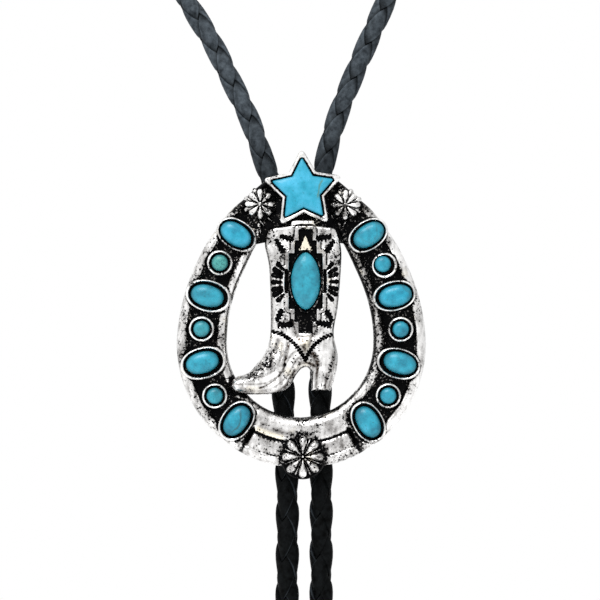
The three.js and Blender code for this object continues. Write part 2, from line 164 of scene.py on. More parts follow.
def from_points(name, points, faces):
    """A new object from points and faces, selected."""
    data = bpy.data.meshes.new(name)
    data.from_pydata(points.tolist(), [], faces)
    piece = new_object(name, data)
    select(piece)
    return piece


def apply(piece, kind, **settings):
    """Add a modifier and apply it."""
    bpy.context.view_layer.objects.active = piece
    modifier = piece.modifiers.new(kind.title(), kind)
    for name, value in settings.items():
        setattr(modifier, name, value)
    bpy.ops.object.modifier_apply(modifier=modifier.name)


def place(piece, x=0.0, y=0.0, turn=0.0, size=1.0):
    """Stand a piece of the slide up in the frame, at a spot on its face."""
    select(piece)
    spot = Matrix.Translation((x, y, 0)) @ Matrix.Rotation(math.radians(turn), 4, "Z")
    piece.matrix_world = FACE @ spot @ Matrix.Diagonal((size, size, 1, 1))
    freeze()
    return piece


def copy(piece, name):
    """A copy with a mesh of its own."""
    new = piece.copy()
    new.data = piece.data.copy()
    new.name = name
    scene.collection.objects.link(new)
    return new


def join(pieces, name):
    """One object from several."""
    select(*pieces)
    bpy.ops.object.join()
    pieces[0].name = name
    return pieces[0]


def hand_in(piece, material, slot, *nodes, angle=40):
    """Shade a finished piece smooth, give it its material, hang it on the root and hide the CAD parts that
    it stands for.
    """
    select(piece)
    bpy.ops.object.shade_smooth_by_angle(angle=math.radians(angle))
    piece.data.materials.clear()
    piece.data.materials.append(material)
    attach(piece, "root")
    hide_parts(*nodes)
    return piece


def write(piece, name, values):
    """Store an attribute: one number for each vertex, or one for them all."""
    data = piece.data
    layer = data.attributes.get(name) or data.attributes.new(name, "FLOAT", "POINT")
    values = np.broadcast_to(np.asarray(values, dtype=np.float32), len(data.vertices))
    layer.data.foreach_set("value", np.ascontiguousarray(values))


def read(piece, name):
    """An attribute's number for each vertex, or zeros where the piece doesn't have it."""
    values = np.zeros(len(piece.data.vertices), dtype=np.float32)
    if name in piece.data.attributes:
        piece.data.attributes[name].data.foreach_get("value", values)
    return values


def places(piece):
    """The place of each vertex, one row each."""
    return np.array([v.co for v in piece.data.vertices])


def smooth_line(points, step):
    """A centripetal Catmull-Rom line through the points, in steps of about this length."""
    points = [np.array(p, dtype=float) for p in points]
    padded = [2 * points[0] - points[1], *points, 2 * points[-1] - points[-2]]
    line = []
    for a, b, c, d in zip(padded, padded[1:], padded[2:], padded[3:]):
        t0, t1, t2 = (np.linalg.norm(q - p) ** 0.5 for p, q in ((a, b), (b, c), (c, d)))
        m1 = ((b - a) / t0 - (c - a) / (t0 + t1) + (c - b) / t1) * t1
        m2 = ((c - b) / t1 - (d - b) / (t1 + t2) + (d - c) / t2) * t1
        count = max(2, round(np.linalg.norm(c - b) / step))
        for t in np.arange(count) / count:
            cubic = (2 * b - 2 * c + m1 + m2) * t**3
            line.append(b + m1 * t + (3 * (c - b) - 2 * m1 - m2) * t**2 + cubic)
    line.append(points[-1])
    return np.array(line)


def ease(low, high, value):
    """From 0 at the low value to 1 at the high one, softly."""
    t = np.clip((value - low) / (high - low), 0, 1)
    return t * t * (3 - 2 * t)


def fade(away, reach):
    """1 where nothing is away, and softly less over this reach."""
    return np.exp(-((away / reach) ** 2))


def distance(xy, line, closed=False):
    """How far each point is from a line of straight stretches."""
    starts, ends = (line, np.roll(line, -1, 0)) if closed else (line[:-1], line[1:])
    best = np.full(len(xy), 1e9)
    for a, b in zip(starts, ends):
        along = b - a
        t = np.clip(((xy - a) @ along) / max(along @ along, 1e-12), 0, 1)
        best = np.minimum(best, np.linalg.norm(xy - a - t[:, None] * along, axis=1))
    return best


# Materials

def colour(text):
    """A hex colour as linear light."""
    parts = [int(text[i : i + 2], 16) / 255 for i in (1, 3, 5)]
    return [p / 12.92 if p <= 0.04045 else ((p + 0.055) / 1.055) ** 2.4 for p in parts] + [1]


def feed(node, inputs):
    """Set a node's inputs: plain values, or other nodes' sockets, which are linked."""
    for name, value in inputs.items():
        if isinstance(value, bpy.types.NodeSocket):
            node.id_data.links.new(value, node.inputs[name])
        else:
            node.inputs[name].default_value = value


def add(tree, kind, inputs=None, **settings):
    """Add one node. The functions below add theirs to the tree that their first socket is in."""
    new = tree.nodes.new("ShaderNode" + kind)
    for name, value in settings.items():
        setattr(new, name, value)
    feed(new, inputs or {})
    return new


def stored(tree, name):
    """What a piece has stored as this attribute."""
    return add(tree, "Attribute", attribute_name=name).outputs["Fac"]


def noise(spot, size, detail, roughness=0.5):
    """A cloudy pattern of so many clouds a millimetre."""
    inputs = {"Vector": spot, "Scale": size, "Detail": detail, "Roughness": roughness}
    return add(spot.id_data, "TexNoise", inputs).outputs["Fac"]


def remap(value, low, high, first=0.0, last=1.0):
    """From the first number at the low value to the last one at the high value."""
    inputs = {"Value": value, "From Min": low, "From Max": high, "To Min": first, "To Max": last}
    return add(value.id_data, "MapRange", inputs).outputs[0]


def calc(operation, *values, **settings):
    inputs = dict(enumerate(values))
    return add(values[0].id_data, "Math", inputs, operation=operation, **settings).outputs[0]


def vector(operation, *values):
    """A step of arithmetic on vectors. A distance comes out as the second output."""
    new = add(values[0].id_data, "VectorMath", dict(enumerate(values)), operation=operation)
    return new.outputs[1 if operation == "DISTANCE" else 0]


def mix(share, under, over):
    """Lay a share of one colour over another. Colours are hex text or sockets."""
    under, over = (colour(c) if isinstance(c, str) else c for c in (under, over))
    return add(share.id_data, "Mix", {0: share, 6: under, 7: over}, data_type="RGBA").outputs[2]


def bump(height, depth):
    inputs = {"Height": height, "Strength": 0.25, "Distance": depth}
    return add(height.id_data, "Bump", inputs).outputs[0]


def new_material(name):
    material = bpy.data.materials.new(name)
    material.use_nodes = True
    tree = material.node_tree
    # Object coordinates in millimetres: every piece sits unturned at the origin.
    spot = vector("MULTIPLY", add(tree, "TexCoord").outputs["Object"], (1000, 1000, 1000))
    return material, tree, tree.nodes["Principled BSDF"], spot


# Cast silver, bright on what stands up and blackened in the recesses, with specks of black left in
# the pits, patches of grey wear, a little warm tarnish and brown smudges. The blackening and the
# brown also carry painted shadow, shade and reflections, marked on the pieces below.
silver, tree, shader, spot = new_material("antiqued_cast_silver")
pits = noise(spot, 1.9, 3.0, 0.6)
pitted = remap(noise(spot, 0.2, 2.0), 0.45, 0.7, 0.0, 0.32)
# The blackening marked on each piece: patina, with painted shade and painted shadow in it.
grime_and_shade = calc("ADD", stored(tree, "patina_and_shade"), pitted)
ragged = calc("ADD", pits, -0.5)
black = remap(calc("MULTIPLY_ADD", ragged, 2.5, grime_and_shade), 0.45, 0.57)
worn = noise(vector("MULTIPLY", spot, (1, 1, 0.4)), 0.8, 4.0, 0.6)
grey = remap(calc("MULTIPLY_ADD", grime_and_shade, 0.5, worn), 0.46, 0.94)
clean = mix(grey, "#fefdfc", "#6a6764")
warm = remap(noise(spot, 0.19, 3.0), 0.62, 0.74, 0.0, 0.6)
warm = calc("MAXIMUM", warm, stored(tree, "tarnish"))
clean = mix(warm, clean, "#fff6e0")
smudges = noise(spot, 0.4, 5.0, 0.65)
uneven = remap(calc("MULTIPLY_ADD", ragged, 0.9, smudges), 0.3, 0.65, 0.5, 1.25)
# Brown smudges, with painted shade and painted reflections marked in the same attribute.
smoked = calc("MULTIPLY", stored(tree, "smoked"), uneven, use_clamp=True)
smoked = calc("MAXIMUM", smoked, remap(smudges, 0.58, 0.74, 0.0, 0.42))
clean = mix(smoked, clean, "#3a322c")
surface = {
    "Base Color": mix(black, clean, "#0b0b0c"),
    "Roughness": remap(black, 0.0, 1.0, 0.2, 0.5),
    "Normal": bump(pits, 0.0002),
    "Metallic": 1.0,
}
feed(shader, surface)

# Polished turquoise: sky blue in soft clouds, with painted shade darkening it to teal towards the rim,
# greener in some stones. Two stones have a crack, and a few show faint veins.
turquoise, tree, shader, spot = new_material("polished_turquoise")
green = stored(tree, "green")
clouds = calc("MULTIPLY_ADD", stored(tree, "pale"), 0.3, noise(spot, 0.35, 4.0, 0.6))
blue = add(tree, "ValToRGB", {"Fac": clouds})
blue.color_ramp.elements.new(0.64)
BLUES = ((0.34, "#0d5a75"), (0.62, "#248ea8"), (0.95, "#48a9cb"))
for element, (position, text) in zip(blue.color_ramp.elements, BLUES):
    element.position = position
    element.color = colour(text)
tone = mix(green, blue.outputs[0], "#478f85")
# Painted shade: darker teal towards each stone's rim, as on a lit dome.
tone = mix(stored(tree, "rim"), tone, "#0d4853")
bend = add(tree, "TexNoise", {"Vector": spot, "Scale": 0.3, "Detail": 3.0}).outputs["Color"]
bent = vector("MULTIPLY_ADD", bend, (3, 3, 3), spot)
cells = add(tree, "TexVoronoi", {"Vector": bent, "Scale": 0.13}, feature="DISTANCE_TO_EDGE")
thin = remap(cells.outputs["Distance"], 0.01, 0.035, 1.0, 0.0)
tone = mix(calc("MULTIPLY", thin, stored(tree, "veined")), tone, "#33443c")
# The cracks: middle and radius of the arc that each follows, and the spot and reach that it shows in
CRACKS = (
    ((13.6, 0, -142.6), 9.8, (3.8, 0, -140.2), 2.6, "#4f7158"),
    ((-17.6, 0, -193.0), 3.7, (-14.2, 0, -194.2), 3.0, "#2c5258"),
)
shake = noise(spot, 0.9, 3.0)
seen = vector("MULTIPLY", spot, (1, 0, 1))
for middle, radius, shown, reach, text in CRACKS:
    away = calc("MULTIPLY_ADD", shake, 0.9, vector("DISTANCE", seen, middle))
    away = calc("ABSOLUTE", calc("SUBTRACT", away, radius + 0.45))
    line = remap(away, 0.05, 0.3, 0.75, 0.0)
    near = remap(vector("DISTANCE", seen, shown), reach * 0.7, reach, 1.0, 0.0)
    tone = mix(calc("MULTIPLY", line, near), tone, text)
specks = calc("MULTIPLY_ADD", green, 0.18, noise(spot, 2.6, 2.0))
tone = mix(remap(specks, 0.66, 0.74, 0.0, 0.6), tone, "#1f565a")
feed(shader, {"Base Color": tone, "Roughness": 0.25, "Specular IOR Level": 0.3})

# Black lace leather with painted light: a blue grey on what shows where the cord lies round the neck
# and, as fine painted highlights, along the cut edges of the laces below.
leather, tree, shader, spot = new_material("braided_lace_leather")
clouds = remap(noise(spot, 0.7, 5.0, 0.65), 0.32, 0.68)
leather_tone = mix(clouds, "#020202", "#101213")
painted_lit_tone = mix(clouds, "#282d32", "#525a61")
pores = add(tree, "TexVoronoi", {"Vector": spot, "Scale": 3.2}).outputs["Distance"]
surface = {
    "Base Color": mix(stored(tree, "painted_light"), leather_tone, painted_lit_tone),
    "Normal": bump(pores, 0.0001),
    "Roughness": 0.48,
    "Specular IOR Level": 0.025,
}
feed(shader, surface)

# Nickel plated spring steel of the clip, with fine brush lines across it.
steel, tree, shader, spot = new_material("plated_clip_steel")
stretch = add(tree, "Mapping", {"Vector": spot, "Scale": (0.3, 6.0, 6.0)}).outputs[0]
lines = noise(stretch, 1.0, 3.0)
tone = mix(lines, "#9b9c9e", "#c6c7c8")
rough = remap(lines, 0.0, 1.0, 0.25, 0.45)
feed(shader, {"Base Color": tone, "Roughness": rough, "Metallic": 1.0})

# Polished silver-coloured plating of the cord tips, with faint tarnish clouds.
plating, _, shader, spot = new_material("polished_tip_plating")
clouds = noise(spot, 0.35, 4.0)
tone = mix(clouds, "#b9b9b7", "#e4e3e0")
rough = remap(clouds, 0.0, 1.0, 0.14, 0.34)
feed(shader, {"Base Color": tone, "Roughness": rough, "Metallic": 1.0})


# The horseshoe: a straight bar with raised borders and a sunk channel, bent along the egg-shaped line

# The middle line is round below its widest level. Above it, it rises to a narrower arch.
SHOE_RADIUS = 23.1
SHOE_LEVEL = -10
ARCH_RISE = 40
ARCH_NARROWING = 0.457
HALF_BAR = 5.65
BAR_LEVEL = 1.5
CHANNEL = 1.8
# How far the raised toe reaches each way from its middle, on the band's inner and outer half. On the
# outer half a cut follows, and beside the toe the channel rises.
TOE_INSIDE = 13.2
TOE_OUTSIDE = 11.3
CUT_END = 11.9
RISE_END = 15.5
# Where the straight stretch of each arm starts and ends, from the toe's middle
ARM_START = 18
ARM_END = 62
# Half the band's width, by the angle above the side
WIDTH_ANGLES = (0, 30, 44, 52, 66)
WIDTHS = (5.65, 5.1, 4.4, 3.3, 2.2)


def arm(broader):
    """Points of the right arm and their half widths, with the inside moved in by so much."""
    points = []
    for angle in range(-88, 67, 2):
        t = math.radians(angle)
        below = min(t, 0)
        narrowed = 1 - ARCH_NARROWING * math.sin(t) ** 2 if t > 0 else 1
        rise = ARCH_RISE if t > 0 else SHOE_RADIUS
        inward = float(np.interp(angle, (-88, -45), (0.45, broader))) / 2
        x = SHOE_RADIUS * math.cos(t) * narrowed - inward * math.cos(below)
        y = SHOE_LEVEL + rise * math.sin(t) - inward * math.sin(below)
        points.append((x, y, float(np.interp(angle, WIDTH_ANGLES, WIDTHS)) + inward))
    return points


left_arm = [(-x, y, w) for x, y, w in reversed(arm(0.35))]
shoe = left_arm + [(0, -32.88, 5.87)] + arm(0.9)
length = sum(math.dist(a[:2], b[:2]) for a, b in zip(shoe, shoe[1:]))

bpy.ops.curve.primitive_bezier_curve_add()
bend = bpy.context.object
bend.data.dimensions = "2D"
bend.data.splines.clear()
line = bend.data.splines.new("POLY")
line.points.add(len(shoe) - 1)
for point, (x, y, width) in zip(line.points, shoe):
    point.co = (x, y, 0, 1)
    point.radius = width / HALF_BAR

# Rows across the band: where each lies (inside edge -1, outside edge 1), its level and blackness on
# the arms, and the same on the raised toe, which has a broad crease and a fine groove.
CREASE = -0.27
GROOVE = 0.62
ROWS = (
    (-1.0, 1.5, 0.6, 1.6, 0.6),
    (-0.9, 2.5, 0.38, 2.6, 0.3),
    (-0.76, 2.95, 0.24, 3.05, 0.14),
    (-0.63, 2.7, 0.5, 3.2, 0.12),
    (-0.57, CHANNEL, 0.85, 3.2, 0.12),
    (CREASE, CHANNEL, 0.78, 3.1, 0.2),
    (-0.2, CHANNEL, 0.78, 3.15, 0.1),
    (-0.07, CHANNEL, 0.78, 3.1, 0.08),
    (-0.03, CHANNEL, 0.78, 2.7, 1.0),
    (0.03, CHANNEL, 0.78, 2.7, 1.0),
    (0.07, CHANNEL, 0.78, 3.1, 0.08),
    (0.57, CHANNEL, 0.85, 3.1, 0.12),
    (GROOVE, 2.6, 0.58, 2.65, 0.85),
    (0.67, 2.9, 0.34, 3.0, 0.12),
    (0.8, 2.95, 0.22, 2.9, 0.1),
    (0.9, 2.5, 0.22, 2.4, 0.12),
    (1.0, 1.5, 0.15, 1.5, 0.12),
)


def toe_reach(u):
    return TOE_INSIDE if u < 0 else TOE_OUTSIDE


def from_toe(v):
    return abs(v.co.x - length / 2)


count = len(ROWS) - 1
bpy.ops.mesh.primitive_grid_add(x_subdivisions=280, y_subdivisions=count, size=2)
band = bpy.context.object
band.name = "horseshoe_band"
edit()
scale(length / 2, HALF_BAR, 1)
move(length / 2, 0, 0)
extrude(0, 0, BAR_LEVEL)
for i, (u, arm_level, _, toe_level, _) in enumerate(ROWS):
    old = HALF_BAR - i * 2 * HALF_BAR / count
    pick("VERT", lambda v: abs(v.co.y - old) < 1e-3 and v.co.z > 0.1 and from_toe(v) < toe_reach(u))
    move(0, 0, toe_level - arm_level)
    pick("VERT", lambda v: abs(v.co.y - old) < 1e-3 and v.co.z > 0.1)
    move(0, -HALF_BAR * u - old, arm_level - BAR_LEVEL)
# The channel rises beside the toe.
pick("VERT", lambda v: abs(v.co.z - CHANNEL) < 0.01 and CUT_END <= from_toe(v) < RISE_END)
move(0, 0, 0.65)
# A cut across the outer half, where the raised toe starts
pick("VERT", lambda v: v.co.y < 0.6 and v.co.z > 1.2 and TOE_OUTSIDE <= from_toe(v) < CUT_END)
move(0, 0, -0.55)
close()


def band_marks(row, right, on_face):
    """How black, yellowed and browned the band is in one of its rows, so far right of the toe. The black
    and the brown also hold painted shade on the arms' sides.
    """
    u, _, arm_dark, _, toe_dark = row
    along = abs(right)
    dark = toe_dark if along < toe_reach(u) else arm_dark
    if TOE_OUTSIDE <= along < CUT_END and u > -0.1:
        dark = 0.95
    elif CUT_END <= along < RISE_END and arm_dark > 0.7:
        dark = 0.5
    if u == GROOVE and along < TOE_OUTSIDE:
        # The groove fades away from the lowest concho.
        dark -= 0.45 * ease(6, 9, along)
    # The ends of the arms are black all over, behind the star.
    black_from = length / 2 - (17.5 if right > 0 and u < -0.5 else 13)
    dark = max(dark, 0.72 * ease(black_from, black_from + 3.5, along)) * on_face
    # A yellowed strip along the left of the toe's crease
    yellow = 0.8 if -0.24 < u < -0.04 and -11.5 < right < -4.0 else 0.0
    # Brown smudges on the toe
    brown_and_shade = 0.12 if along < 13 else 0.0
    if u < -0.3:
        brown_and_shade = max(brown_and_shade, 0.5 * fade(right + 11.5, 2.4))
    if -0.7 < u < -0.04:
        brown_and_shade = max(brown_and_shade, 0.5 * fade(right - 8.2, 2.4))
    if u == CREASE and -10.5 < right < -2:
        brown_and_shade = 0.8
    if 0.04 < u < 0.6:
        brown_and_shade = 0.35 + 0.3 * fade(right - 8, 2)
    # Painted shade and light on the arms: sides that face left are darker, sides that face right brighter.
    # The right arm is blacker along its inside and brighter along its outside, the left one brighter
    # along its inside and browner along its outside.
    inner, outer = u < -0.6, u > 0.65
    on_arm = ARM_START < along < ARM_END
    if on_arm and inner and right > 0:
        higher = ease(26, 32, right)
        brown_and_shade = 0.4 * higher
        dark += 0.24 * higher - 0.12
    elif on_arm and outer and right > 0:
        dark -= 0.18
    elif on_arm and outer:
        brown_and_shade = 0.14
    elif on_arm and inner:
        dark -= 0.25 if u < -0.8 else 0.1
    return dark, yellow * on_face, brown_and_shade * on_face


marks = []
for x, y, z in places(band):
    row = min(ROWS, key=lambda one: abs(y + HALF_BAR * one[0]))
    marks.append(band_marks(row, x - length / 2, z > 0.1))
for name, values in zip(("ground", "tarnish", "smoked"), np.array(marks).T):
    write(band, name, values)
apply(band, "SUBSURF", levels=1, render_levels=1)
apply(band, "CURVE", object=bend, deform_axis="POS_X")
bpy.data.objects.remove(bend)
casting = [place(band)]


# The rest of the slide's casting, and the stones

def dome(width, height, seat, girdle, top, rings=8):
    """The levels of a cabochon: straight up to its girdle, then rounded to a rather flat top."""
    levels = [(width, height, seat), (width, height, girdle)]
    for i in range(1, rings + 1):
        t = math.radians(86 * i / rings)
        out, up = math.cos(t) ** 0.75, math.sin(t) ** 0.75
        levels.append((width * out, height * out, girdle + (top - girdle) * up))
    return levels


def set_stone(piece, name, spot, girdle, top, tints, rim_shade=0.8):
    """Place a stone at its spot and finish it, with painted shade darkening it to teal towards its rim,
    and with how green, veined and pale it is.
    """
    up = np.clip((places(piece)[:, 2] - girdle) / (top - girdle), 0, 1)
    write(piece, "rim", rim_shade * ease(0.5, 1.05, np.sqrt(1 - up**2)))
    for attribute, tint in zip(("green", "veined", "pale"), tints):
        write(piece, attribute, tint)
    place(piece, *spot)
    stones.append(hand_in(piece, turquoise, "turquoise", name))


stones = []
right_side = [(7.5, 13.6), (12.5, 12.6), (12.5, 20), (8, 25.5)]
yoke = flat_face("yoke_web", right_side + [(-x, y) for x, y in reversed(right_side)])
raise_face([(1, 1, 0), (1, 1, 1.7), (0.97, 0.99, 1.9)])
write(yoke, "ground", 0.78)
write(yoke, "proud", 0.5)
casting.append(place(yoke))

# Oval and round bezels and their cabochons, each modelled once and copied round the band
RIM = 3.4
OVAL_TOP = 5.3
ROUND_TOP = 4.7
oval_levels = [
    (5.22, 3.66, 1.0), (5.14, 3.59, 3.1), (5.06, 3.53, 3.6), (4.92, 3.42, 3.85), (4.68, 3.24, 3.95),
    (4.5, 3.09, 3.85), (4.4, 3.01, 3.5), (4.38, 2.99, 2.6),
]
round_levels = (
    (3.05, 1.0), (2.98, 3.1), (2.9, 3.5), (2.77, 3.72), (2.56, 3.8), (2.39, 3.7), (2.31, 3.3), (2.29, 2.6),
)
PATTERNS = {
    "oval": (
        turned("oval_bezel", oval_levels, 64, 0.92),
        turned("oval_stone", dome(3.84, 2.5, 2.8, 3.5, OVAL_TOP), 64, 0.92),
        OVAL_TOP,
    ),
    "round": (
        turned("round_bezel", even(round_levels)),
        turned("round_stone", dome(1.88, 1.88, 2.8, 3.4, ROUND_TOP)),
        ROUND_TOP,
    ),
}
# Each stone's place and turn, how green, veined and pale it is, and how far its bezel sits off it and
# is larger or smaller than the rest
PLAIN = (0.1, 0.0, 0.15)
EVEN = (0, 0, 1)
SETTINGS = {
    "oval_stone_right_1": ((15.5, 14.95, 34), (0.1, 0.2, 0.25), (-0.2, -0.1, 0.96)),
    "round_stone_right_1": ((18.75, 8.25, 0), PLAIN, (0.35, -0.3, 1.0)),
    "oval_stone_right_2": ((21.6, 0.95, 13.5), (0.0, 0.3, 0.4), (-0.25, 0.0, 0.98)),
    "round_stone_right_2": ((22.85, -6.75, 0), PLAIN, EVEN),
    "oval_stone_right_3": ((22.7, -14.5, -16), PLAIN, (-0.35, -0.1, 1.0)),
    "round_stone_right_3": ((20.0, -22.0, 0), PLAIN, EVEN),
    "oval_stone_right_4": ((15.35, -28.05, -59.5), PLAIN, EVEN),
    "oval_stone_left_1": ((-15.05, 15.05, -33), (0.0, 0.0, 0.5), (0.2, 0.0, 0.96)),
    "round_stone_left_1": ((-18.75, 8.55, 0), (0.85, 0.0, 0.3), EVEN),
    "oval_stone_left_2": ((-21.6, 0.95, -15), (0.15, 0.0, 0.3), (0.2, 0.0, 1.03)),
    "round_stone_left_2": ((-22.95, -6.65, 0), (0.4, 0.0, 0.1), EVEN),
    "oval_stone_left_3": ((-22.75, -14.4, 15.5), (0.12, 0.0, 0.35), (0.2, -0.1, 1.04)),
    "round_stone_left_3": ((-19.9, -22.05, 0), (0.25, 0.0, 0.1), EVEN),
    "oval_stone_left_4": ((-14.85, -27.75, 53), (0.1, 0.0, 0.0), EVEN),
}
bezels = []
for name, ((x, y, turn), tints, (off_x, off_y, size)) in SETTINGS.items():
    bezel, stone, top = PATTERNS[name.split("_")[0]]
    bezels.append(place(copy(bezel, "bezel"), x + off_x, y + off_y, turn, size))
    set_stone(copy(stone, name + "_polished"), name, (x, y, turn), RIM, top, tints)
for bezel, stone, _ in PATTERNS.values():
    bpy.data.objects.remove(bezel)
    bpy.data.objects.remove(stone)
casting.append(join(bezels, "band_bezels"))
write(casting[-1], "ground", 0.1)


# The star on top

STAR = (0.4, 25.2, 2)


def star_outline(tip, notch):
    corners = []
    for i in range(10):
        t = math.radians(90 + 36 * i)
        reach = notch if i % 2 else tip
        corners.append((reach * math.cos(t), reach * math.sin(t)))
    return corners


star = flat_face("star_setting", star_outline(9.85, 5.2))
rounded(1.5, lambda v: v.co.length > 8)
star_levels = (
    (1, 1.5), (1, 4.1), (0.985, 4.5), (0.95, 4.75), (0.885, 4.78), (0.84, 4.65), (0.825, 4.3), (0.82, 3.0),
)
raise_face(even(star_levels))
casting.append(place(star, *STAR))
star_stone = flat_face("star_stone_polished", star_outline(7.58, 4.0))
rounded(0.6, lambda v: v.co.length > 6)
star_levels = (
    (1, 3.1), (1, 4.4), (0.985, 4.7), (0.95, 4.92), (0.88, 5.08), (0.6, 5.24), (0.3, 5.29), (0.06, 5.3),
)
raise_face(even(star_levels))
set_stone(star_stone, "star_stone", STAR, 4.4, 5.3, (0.0, 0.0, 0.75), rim_shade=0.3)


# The marquise on the boot's shaft: a pointed oval, in a blackened setting

MARQUISE = (1.0, 4.35)


def pointed_oval(width, height, count=21):
    radius = (width**2 + height**2) / (2 * width)
    right = []
    for i in range(count):
        y = -height * math.cos(math.pi * i / (count - 1))
        lens = math.sqrt(radius**2 - y**2) - radius + width
        oval = width * math.sqrt(max(0, 1 - (y / height) ** 2))
        right.append((0.32 * lens + 0.68 * oval, y))
    return right + [(-x, y) for x, y in reversed(right[1:-1])]


marquise = flat_face("marquise_setting", pointed_oval(3.95, 7.5))
raise_face([
    (1, 1, 2.6), (1, 1, 3.5), (0.98, 0.985, 3.75), (0.95, 0.965, 3.85), (0.91, 0.935, 3.85),
    (0.885, 0.915, 3.7), (0.875, 0.905, 3.4), (0.87, 0.9, 2.9),
])
write(marquise, "ground", 0.62)
casting.append(place(marquise, *MARQUISE))
marquise_stone = flat_face("marquise_stone_polished", pointed_oval(3.35, 6.6))
raise_face(dome(1, 1, 2.9, 3.6, 5.6))
set_stone(marquise_stone, "marquise_stone", MARQUISE, 3.6, 5.6, (0.16, 0.0, 0.1), rim_shade=0.25)


# Conchos: a petal modelled once and copied in a ring, over a dark disc

def leaf(inner, outer, half_width, low, high, mark):
    """A drop-shaped petal, pointed towards the middle."""
    bpy.ops.mesh.primitive_uv_sphere_add(segments=20, ring_count=12, radius=1)
    petal = bpy.context.object
    long = (outer - inner) / 2
    edit()
    scale(long, half_width, (high - low) / 2)
    for i in range(8):
        # Narrow the petal towards the middle, a slice at a time.
        start = -long + i * long / 4
        pick("VERT", lambda v: start - 1e-4 <= v.co.x < start + long / 4 - 1e-4)
        scale(1, 0.25 + 0.75 * (i / 7) ** 1.3, 0.9 + 0.1 * i / 7)
    bpy.ops.mesh.select_all(action="SELECT")
    move(inner + long, 0, (low + high) / 2)
    leave()
    write(petal, "ground", mark)
    write(petal, "proud", ease(low + 0.5 * (high - low), high, places(petal)[:, 2]))
    return petal


def petal_ring(inner, outer, half_width, low, high, turn, mark):
    """Eight petals round a middle."""
    petal = leaf(inner, outer, half_width, low, high, mark)
    petals = []
    for i in range(8):
        new = copy(petal, "petal")
        new.rotation_euler.z = math.radians(45 * i + turn)
        petals.append(new)
    bpy.data.objects.remove(petal)
    ring = join(petals, "petals")
    freeze()
    return ring


def concho(name, radius, foot, top, middle, rings, worn):
    """A concho with a small middle and rings of petals, blacker away from one given side. On the lowest
    concho this is painted shade over its upper petals.
    """
    shape = ((0.9, 0), (0.95, 0.35), (0.9, 0.45), (0.2, 0.62))
    disc = turned(name, even((radius * r, foot + (top - foot) * z) for r, z in shape))
    write(disc, "ground", 0.95)
    shape = ((1, foot), (1, top - 0.35), (0.75, top - 0.1), (0.25, top))
    hub = turned("hub", even((middle * r, z) for r, z in shape), 16)
    write(hub, "ground", 0.3)
    write(hub, "proud", 1.0)
    piece = join([disc, hub, *(petal_ring(*ring) for ring in rings)], name)
    dark = read(piece, "ground")
    x, y, _ = places(piece).T
    # Blacker away from the given side: on the lowest concho, painted shade over the upper petals.
    away = 1 - np.cos(np.arctan2(y, x) - math.radians(worn))
    rate = np.where(dark > 0.32, 0.25 * (np.hypot(x, y) > 2.2), 0.09)
    write(piece, "ground", np.where(dark < 0.9, dark + rate * away, dark))
    return piece


# Rings of petals: inner and outer reach, half width, low and high level, turn and blackness
SMALL = ((0.0, 3.5, 1.0, 2.4, 4.2, 0, 0.18), (0.9, 4.0, 0.9, 1.6, 3.2, 22.5, 0.35))
LARGE = ((0.1, 4.95, 1.36, 2.0, 5.0, 0, 0.2), (0.3, 4.6, 0.35, 2.6, 4.2, 22.5, 0.3))
casting.append(place(concho("concho_left", 3.6, 1.2, 4.2, 0.55, SMALL, 140), -9.45, 22.05))
casting.append(place(concho("concho_right", 3.6, 1.2, 4.2, 0.55, SMALL, 40), 10.1, 21.85))
LOWEST = (0.35, -36.0)
casting.append(place(concho("concho_bottom", 5.6, 0.4, 4.6, 0.3, LARGE, 270), *LOWEST))

# Worn leaves on the yoke, between the conchos and the boot: place, turn, length and half width
LEAVES = (
    (-9.3, 15.2, 100, 2.8, 0.8),
    (-8.2, 16.6, 128, 2.6, 0.4),
    (-6.4, 17.8, 140, 2.6, 0.35),
    (-11.0, 17.8, 75, 1.8, 0.5),
    (9.2, 16.2, 60, 2.6, 0.4),
    (7.2, 17.8, 40, 2.6, 0.35),
    (11.6, 17.7, 105, 1.8, 0.5),
)
leaves = []
for x, y, turn, long, half_width in LEAVES:
    mark = 0.34 if x < 0 else 0.46
    leaves.append(place(leaf(0, long, half_width, 1.4, 2.8, mark), x, y, turn))
casting.append(join(leaves, "yoke_leaves"))


# The boot: a plump relief sculpted over its outline, with a stepped recess, engraved petals and seams

# Its outline in runs between sharp corners, each from the last point of the run before
BOOT = (
    ((-7.4, 16.4), (-2.7, 17.3)),
    ((-2.5, 18.6),),
    ((3.1, 18.6),),
    ((3.4, 17.3),),
    ((7.7, 16.6), (8.5, 15.2)),
    ((9.2, 11.4), (9.1, 7), (8.35, -1.8), (7.45, -7.8), (8.4, -13), (7.7, -17.9), (6.6, -20.9)),
    ((2.35, -20.9),),
    ((2.4, -16.8),),
    ((1.4, -15.5), (0.2, -15.7), (-1.1, -17.1), (-2.4, -19.4), (-4.1, -21.0)),
    ((-6.7, -21.6), (-12.6, -21.7), (-15.4, -21.2)),
    ((-16.2, -19.6), (-15.7, -18.2), (-14.6, -17.6)),
    (
        (-12.2, -16.8), (-10.2, -14.7), (-8.3, -12.1), (-7.3, -9.2), (-7.0, -5.2), (-7.2, 4), (-7.5, 8.4),
        (-8.4, 12.8), (-8.2, 15.0),
    ),
)
# Its wall's height, how far its face swells over that, and how deep the recess, the petals and the
# seams are cut
WALL = 2.5
SWELL = 1.25
RECESS_DEPTH = 0.65
PETAL_DEPTH = 0.42
SEAM_DEPTH = 0.4
INSTEP = ((1.5, -9), (-4, -13.8), (-9.5, -17.6), (-14, -19.4))
SOLE = ((-0.6, -14.0), (-3.4, -18.6), (-7.5, -21.2), (-15.5, -21.6))
# Where black is left in the grain, on the instep and the heel's back: points and reach
GRAIN = (
    (((-6.0, -11), (-8.3, -15.4), (-11.2, -17.6)), 1.4),
    (((7.6, -12.6), (6.9, -15), (5.9, -18.6)), 0.6),
)
